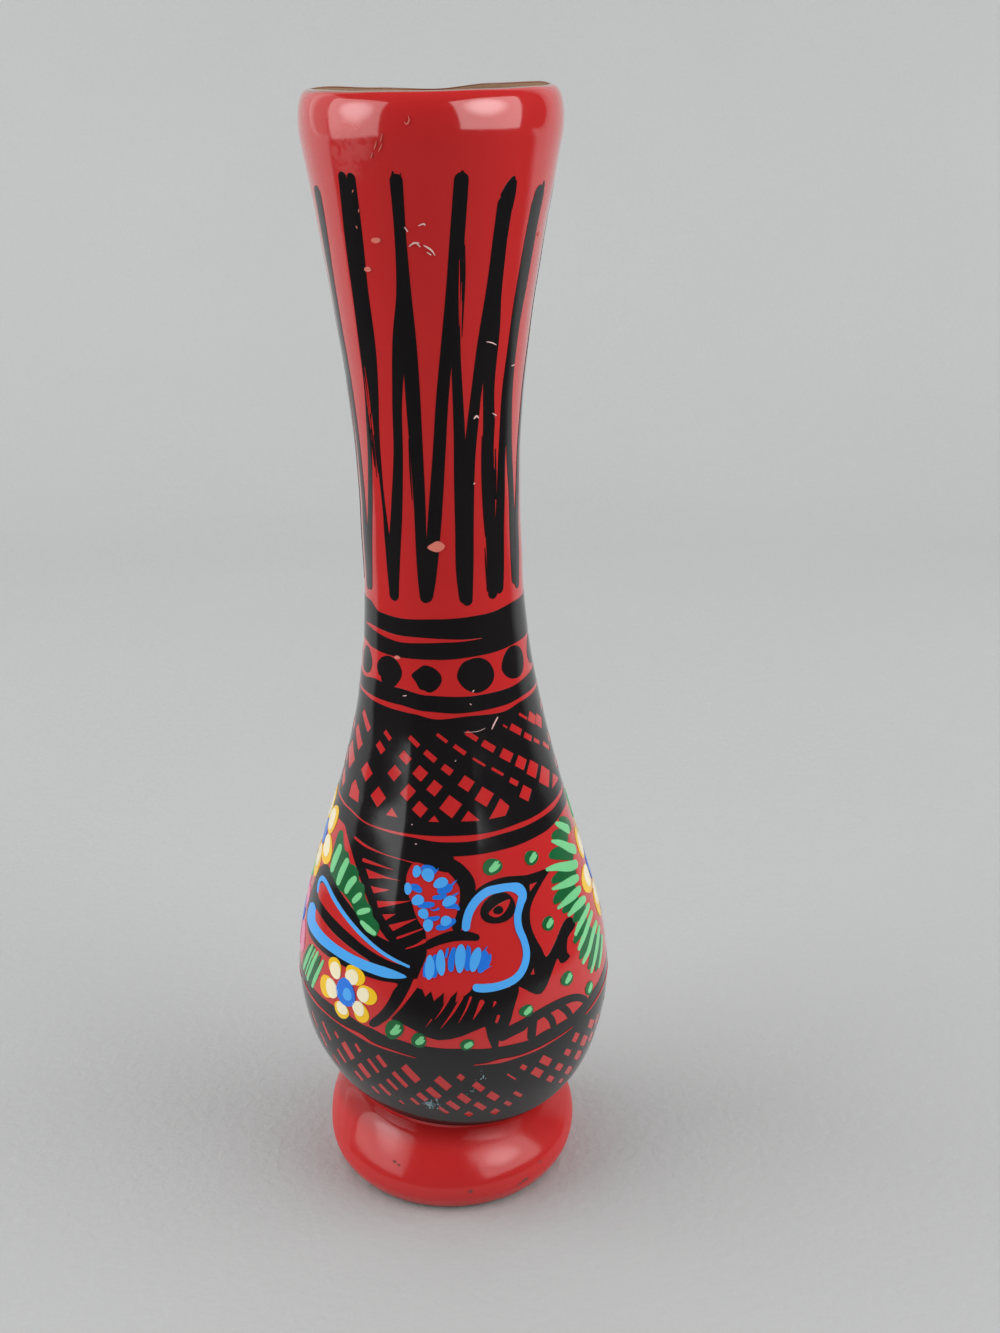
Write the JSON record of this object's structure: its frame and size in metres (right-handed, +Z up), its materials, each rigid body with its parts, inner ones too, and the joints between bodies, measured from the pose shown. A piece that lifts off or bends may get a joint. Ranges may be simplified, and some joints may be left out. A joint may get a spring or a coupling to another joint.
{
  "type": "clay vase",
  "caption": "Slender clay vase with a flared neck, rounded belly and ring foot, painted with red enamel and a folk frieze of a bird and flowers; holds stems.",
  "frame": {"origin": "centre of the resting face of the foot, on the axis of the vase", "axes": "+Z up along the axis of the vase, -Y towards the side with the painted bird, +X to the right of a viewer who faces that side"},
  "size_m": [0.068, 0.068, 0.23],
  "materials": {
    "clay": "matt, fired, unglazed",
    "slip": "matt, fired",
    "red_enamel": "gloss enamel, brushed on",
    "black_enamel": "gloss enamel, brushed on over the red",
    "light_blue_enamel": "gloss enamel, brushed on over the red",
    "mid_blue_enamel": "gloss enamel, brushed on over the red",
    "dark_green_enamel": "gloss enamel, brushed on over the red",
    "light_green_enamel": "gloss enamel, brushed on over the red",
    "yellow_enamel": "gloss enamel, brushed on over the red",
    "cream_enamel": "gloss enamel, brushed on over the red",
    "pink_enamel": "gloss enamel, brushed on over the red"
  },
  "bodies": {
    "root": {"foot_ring": "clay", "foot_slip_seam": "slip", "belly": "clay", "neck_slip_seam": "slip", "neck": "clay", "lip_slip_seam": "slip", "lip": "clay", "red_enamel_coat": "red_enamel"}
  },
  "joints": []
}
